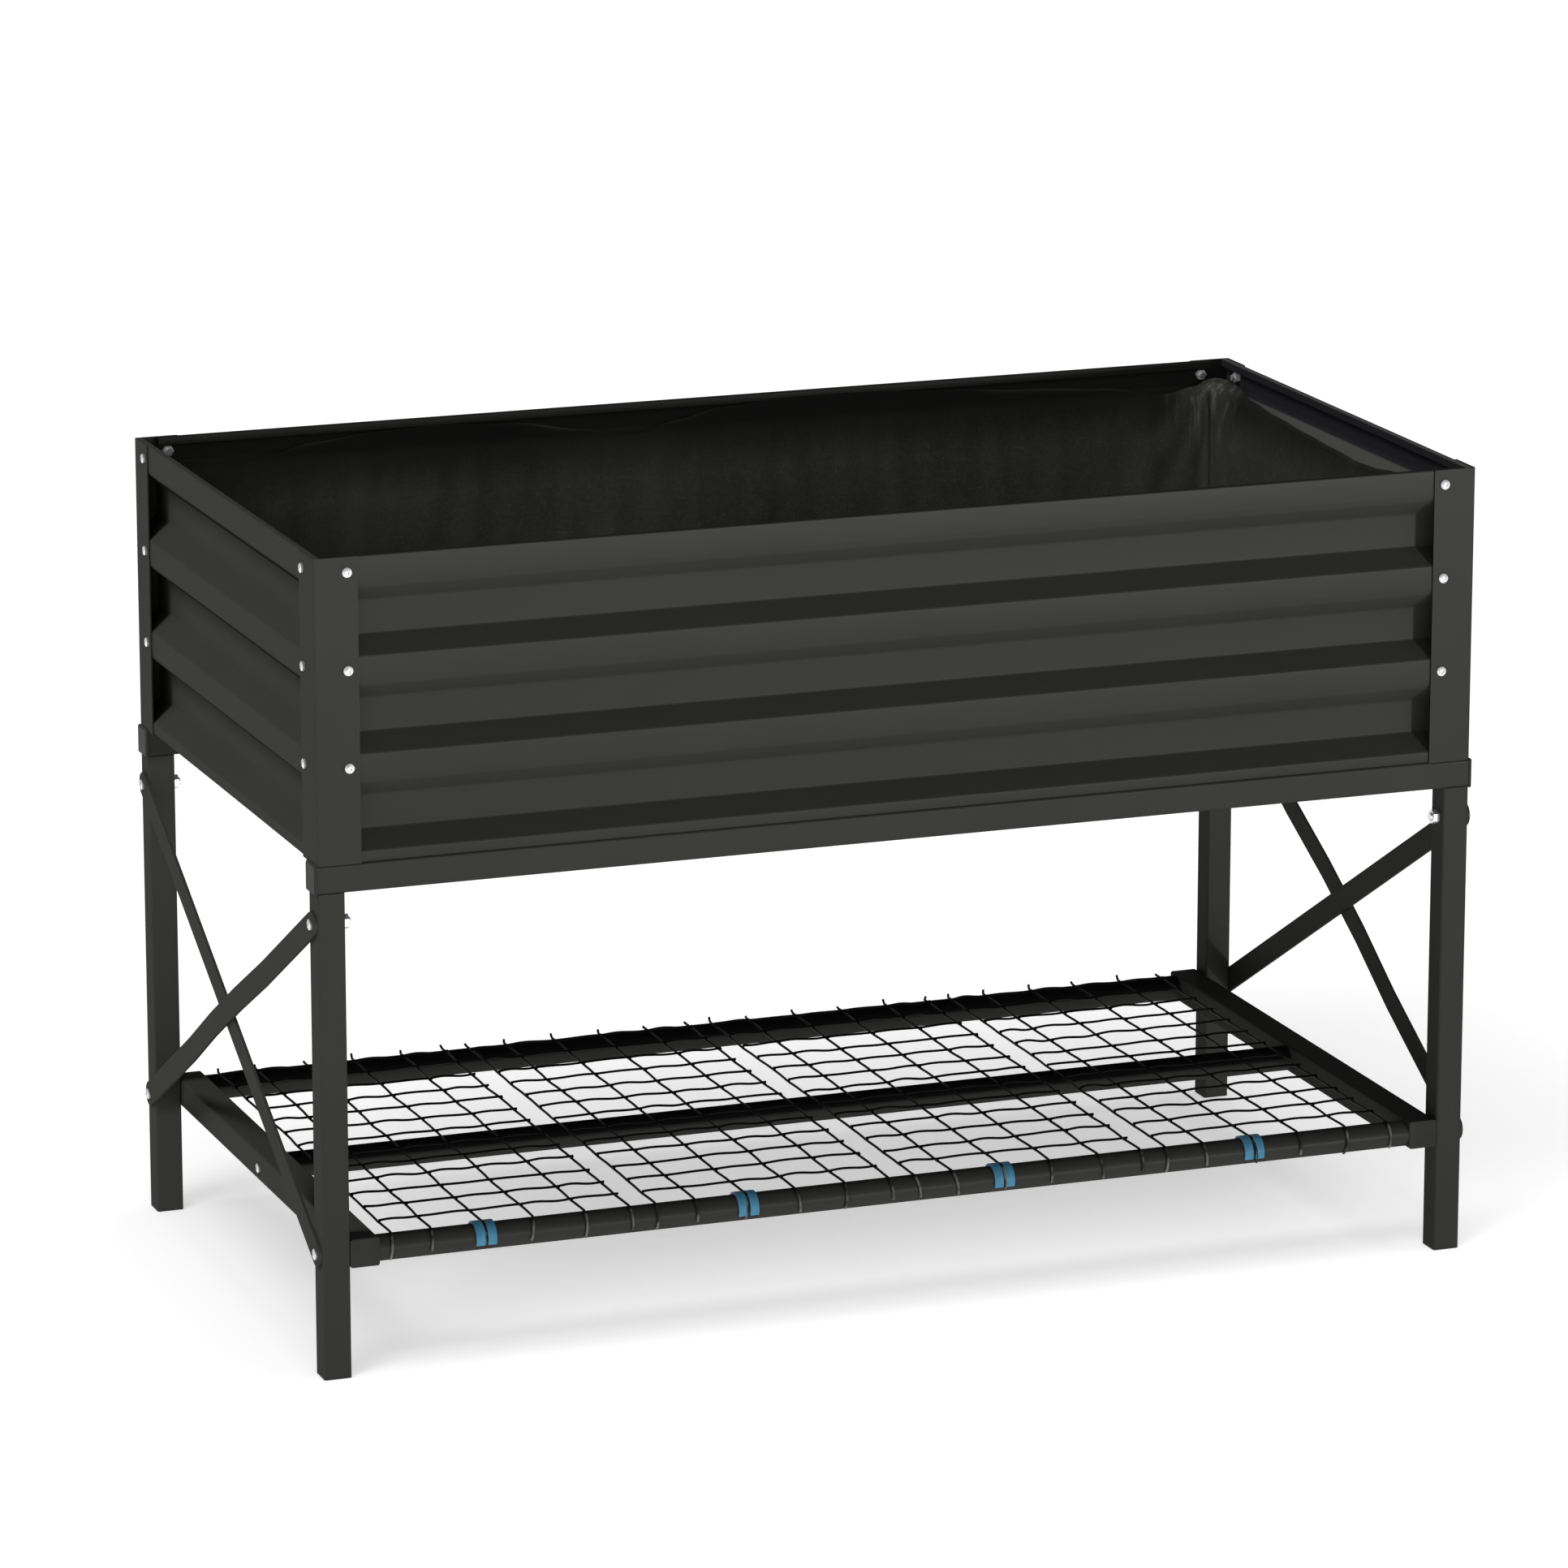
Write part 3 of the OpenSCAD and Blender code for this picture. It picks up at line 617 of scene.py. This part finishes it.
def make_liner():
    verts, faces, grid, (nx, ny, nz) = liner_shell()
    co = verts.copy()
    # round the upright corners
    for sx in (-1, 1):
        for sy in (-1, 1):
            r = 0.022
            cx, cy = sx * (BX - r), sy * (BY - r)
            m = (co[:, 0] * sx > BX - r) & (co[:, 1] * sy > BY - r)
            d = np.stack([co[m, 0] - cx, co[m, 1] - cy], 1)
            big = np.abs(d).max(1)
            ln = np.linalg.norm(d, axis=1)
            s = np.where(ln > 0, big / np.maximum(ln, 1e-9), 1)
            co[m, 0], co[m, 1] = cx + d[:, 0] * s, cy + d[:, 1] * s
    me = bpy.data.meshes.new("liner_bag")
    me.from_pydata([tuple(v) for v in co], [], faces)
    me.update()
    o = bpy.data.objects.new("liner_bag", me)
    scene.collection.objects.link(o)
    top = [int(i) for i in np.nonzero(grid[:, 2] == nz)[0]]
    g = o.vertex_groups.new(name="pin")
    g.add(top, 1.0, "REPLACE")
    # the box that the bag hangs in, open at the top
    cx, cy, cz, ct = 0.5868, 0.2848, 0.5202, 0.86
    cv = [(a * cx, b * cy, z) for z in (cz, ct) for a, b in ((-1, -1), (1, -1), (1, 1), (-1, 1))]
    cf = [(0, 1, 2, 3), (0, 4, 5, 1), (1, 5, 6, 2), (2, 6, 7, 3), (3, 7, 4, 0)]
    wm = bpy.data.meshes.new("tmp_walls")
    wm.from_pydata(cv, [], cf)
    walls = bpy.data.objects.new("tmp_walls", wm)
    scene.collection.objects.link(walls)
    walls.modifiers.new("c", "COLLISION")
    walls.collision.thickness_outer = 0.0015
    walls.collision.thickness_inner = 0.02
    c = o.modifiers.new("cloth", "CLOTH")
    st = c.settings
    st.quality = 6
    st.mass = 0.12
    st.tension_stiffness = st.compression_stiffness = 12
    st.shear_stiffness = 4
    st.bending_stiffness = 0.25
    st.tension_damping = st.compression_damping = 8
    st.air_damping = 2
    st.vertex_group_mass = "pin"
    st.shrink_min = -0.028
    c.collision_settings.distance_min = 0.0015
    c.collision_settings.collision_quality = 2
    c.point_cache.frame_start, c.point_cache.frame_end = 1, 24
    for f in range(1, 25):
        scene.frame_set(f)
    dg = bpy.context.evaluated_depsgraph_get()
    ev = o.evaluated_get(dg)
    arr = np.zeros(len(me.vertices) * 3)
    ev.data.vertices.foreach_get("co", arr)
    o.modifiers.clear()
    bpy.data.objects.remove(walls)
    scene.frame_set(1)
    moved = arr.reshape(-1, 3) - co
    ln = np.linalg.norm(moved, axis=1)[:, None]
    co = co + 0.5 * moved * np.minimum(1, 0.022 / np.maximum(ln, 1e-9))
    o.vertex_groups.clear()
    k = grid[:, 2] / nz
    wall = grid[:, 2] > 0
    # slow billows and finer creases on the walls, pleats that run down from the corners
    on_y = ((grid[:, 1] == 0) | (grid[:, 1] == ny)) & wall
    on_x = ((grid[:, 0] == 0) | (grid[:, 0] == nx)) & wall
    u = np.where(on_y, verts[:, 0], verts[:, 1] + 3.0 * np.sign(verts[:, 0]))
    v = verts[:, 2]
    big = field(waves(7, 9, 1.2, 4.5), u, v * 0.6)
    fine = field(waves(8, 12, 9, 24), u, v * 0.7)
    push = np.clip(0.0035 + 0.0035 * big, 0, None) * np.sin(math.pi * np.clip(k, 0, 1)) ** 0.7 + 0.0002 * fine * np.sin(math.pi * np.clip(k * 0.9 + 0.05, 0, 1))
    push = np.where(wall, push, 0)
    dxe, dye = BX - np.abs(verts[:, 0]), BY - np.abs(verts[:, 1])
    for sx, sy, amp in ((-1, 1, 0.008), (1, -1, 0.008), (-1, -1, 0.008)):
        near = (verts[:, 0] * sx > 0) & (verts[:, 1] * sy > 0) & wall
        s = np.where(on_y, dxe, dye)
        s = np.where(on_x & on_y, 0, s)
        wave = 0.5 + 0.5 * np.cos(2 * math.pi * (s / 0.037 + 0.35 * (1 - k) * np.sin(s * 40)))
        fall = np.exp(-((s / 0.060) ** 2)) * (0.25 + 0.75 * k ** 0.8)
        push = np.where(near, push + amp * wave * fall, push)
    # the cloth is gathered at the back right corner, and folds fan down from there
    near = (verts[:, 0] > 0) & (verts[:, 1] > 0) & wall
    s = np.where(on_y, dxe, -dye)
    drop = np.maximum(0.812 - verts[:, 2], 0.0)
    reach = np.hypot(s, drop + 0.012)
    angle = np.arctan2(s, drop + 0.012)
    fan = np.zeros(len(s))
    for mid, half, high in ((-0.62, 0.16, 0.006), (-0.30, 0.12, 0.013), (0.02, 0.13, 0.017), (0.30, 0.11, 0.012), (0.58, 0.15, 0.009), (1.0, 0.2, 0.004)):
        fan += high * np.exp(-(((angle - mid) / half) ** 2))
    rise = np.clip(reach / 0.03, 0, 1)
    fan *= rise * np.exp(-((reach / 0.17) ** 2))
    # one soft upright fold in the middle of the right wall
    fold = 0.006 * np.exp(-(((verts[:, 1] + 0.085 + 0.1 * (0.8 - verts[:, 2])) / 0.016) ** 2)) * on_x * (verts[:, 0] > 0) * wall * np.clip((0.80 - verts[:, 2]) / 0.03, 0, 1)
    push = np.where(near, push * np.clip(np.abs(s) / 0.15, 0.2, 1) + fan, push) + fold
    ex = np.where(on_x, -np.sign(verts[:, 0]), 0.0)
    ey = np.where(on_y, -np.sign(verts[:, 1]), 0.0)
    co[:, 0] += ex * push
    co[:, 1] += ey * push
    # the floor of the bag: shallow creases
    fl = ~wall
    co[fl, 2] += np.clip(0.0012 + 0.0016 * field(waves(9, 10, 2, 9), verts[fl, 0], verts[fl, 1]), 0, 0.006)
    # above the first recess the cloth leans out to the flat of the panel
    lean = np.clip((co[:, 2] - 0.789) / 0.016, 0, 1)
    lean = lean * lean * (3 - 2 * lean) * 0.0165
    inner_x, inner_y = 0.5858, 0.2838
    lim_x, lim_y = inner_x + lean, inner_y + lean
    co[:, 0] += np.where(on_x, np.sign(verts[:, 0]) * lean, 0)
    co[:, 1] += np.where(on_y, np.sign(verts[:, 1]) * lean, 0)
    co[:, 0] = np.clip(co[:, 0], -lim_x, lim_x)
    co[:, 1] = np.clip(co[:, 1], -lim_y, lim_y)
    co[:, 2] = np.clip(co[:, 2], BZ, 0.8165)
    me.vertices.foreach_set("co", co.ravel())
    me.update()
    me.materials.append(MATS["liner_sheet"])
    me.shade_smooth()
    sub = o.modifiers.new("sub", "SUBSURF")
    sub.levels = sub.render_levels = 1
    sol = o.modifiers.new("sol", "SOLIDIFY")
    sol.thickness = 0.0012
    sol.offset = 1.0
    finish_piece(o, "liner_sheet", "liner")
    return o


liner = make_liner()

# ---- floor, world and lights ---------------------------------------------------------------------
fm = bpy.data.meshes.new("floor")
R = 60.0
fm.from_pydata([(-R, -R, -0.0003), (R, -R, -0.0003), (R, R, -0.0003), (-R, R, -0.0003)], [], [(0, 1, 2, 3)])
floor = bpy.data.objects.new("floor", fm)
scene.collection.objects.link(floor)
m = Mat("floor_white")
m.set(Specular_IOR_Level=0.0, Roughness=0.9, Emission_Color=(1, 1, 1, 1), Emission_Strength=0.52)
m.color(m.ramp(m.noise(0.6, 2.0), [(0.3, (0.70, 0.70, 0.70, 1)), (0.7, (0.72, 0.72, 0.72, 1))]))
fm.materials.append(m.m)

world = bpy.data.worlds.new("studio")
scene.world = world
world.use_nodes = True
wt = world.node_tree
bg = wt.nodes["Background"]
path = wt.nodes.new("ShaderNodeLightPath")
way = wt.nodes.new("ShaderNodeTexCoord")
parts = wt.nodes.new("ShaderNodeSeparateXYZ")
fall = wt.nodes.new("ShaderNodeMapRange")
fall.interpolation_type = "SMOOTHSTEP"
for key, v in (("From Min", 0.05), ("From Max", 0.85), ("To Min", 0.42), ("To Max", 0.14)):
    fall.inputs[key].default_value = v
mixw = wt.nodes.new("ShaderNodeMix")
mixw.data_type = "FLOAT"
mixw.inputs[3].default_value = 1.0
wt.links.new(way.outputs["Generated"], parts.inputs[0])
wt.links.new(parts.outputs["Z"], fall.inputs["Value"])
wt.links.new(fall.outputs["Result"], mixw.inputs[2])
wt.links.new(path.outputs["Is Camera Ray"], mixw.inputs[0])
wt.links.new(mixw.outputs[0], bg.inputs["Strength"])
bg.inputs["Color"].default_value = (1, 1, 1, 1)


def group(name, objects):
    c = bpy.data.collections.new(name)
    for o in objects:
        c.objects.link(o)
    return c


def sun(name, strength, angle, direction, receivers, glossy=False):
    """A distant lamp that shines along direction on the objects in receivers."""
    d = bpy.data.lights.new(name, "SUN")
    d.energy = strength
    d.angle = math.radians(angle)
    o = bpy.data.objects.new(name, d)
    o.rotation_euler = Vector(direction).to_track_quat("-Z", "Y").to_euler()
    scene.collection.objects.link(o)
    o.visible_glossy = glossy
    o.light_linking.receiver_collection = receivers
    return o


pieces = [o for o in scene.objects if o.type == "MESH" and o is not floor]
on_floor = group("lit_floor", [floor])
on_all = group("lit_pieces", pieces)
left_names = ("wall_left", "wall_right", "corner_back_left", "corner_front_left", "leg_front_left", "leg_back_left", "brace_left_inner",
              "brace_left_outer", "shelf_end_rail_left", "base_rail_front", "base_rail_back", "rail_end_caps", "box_bolts")
on_left = group("lit_left", [o for o in pieces if o.name in left_names])
on_liner = group("lit_liner", [o for o in pieces if o is liner or o.name in ("wall_right", "box_nuts")])
sun("overhead", 0.6, 22, (-0.1, 0.02, -1), on_floor)
sun("front_top", 0.95, 34, (0.22, 0.42, -1), on_floor)
sun("leg_shadow", 0.6, 18, (0.62, 0.46, -1), on_floor)
sun("key", 2.35, 3, (-0.44, 0.9, 0.01), on_all, True)
sun("side", 2.3, 20, (0.57, -0.01, -0.82), on_left)
sun("into_box", 2.1, 35, (0.66, 0.55, -0.5), on_liner)
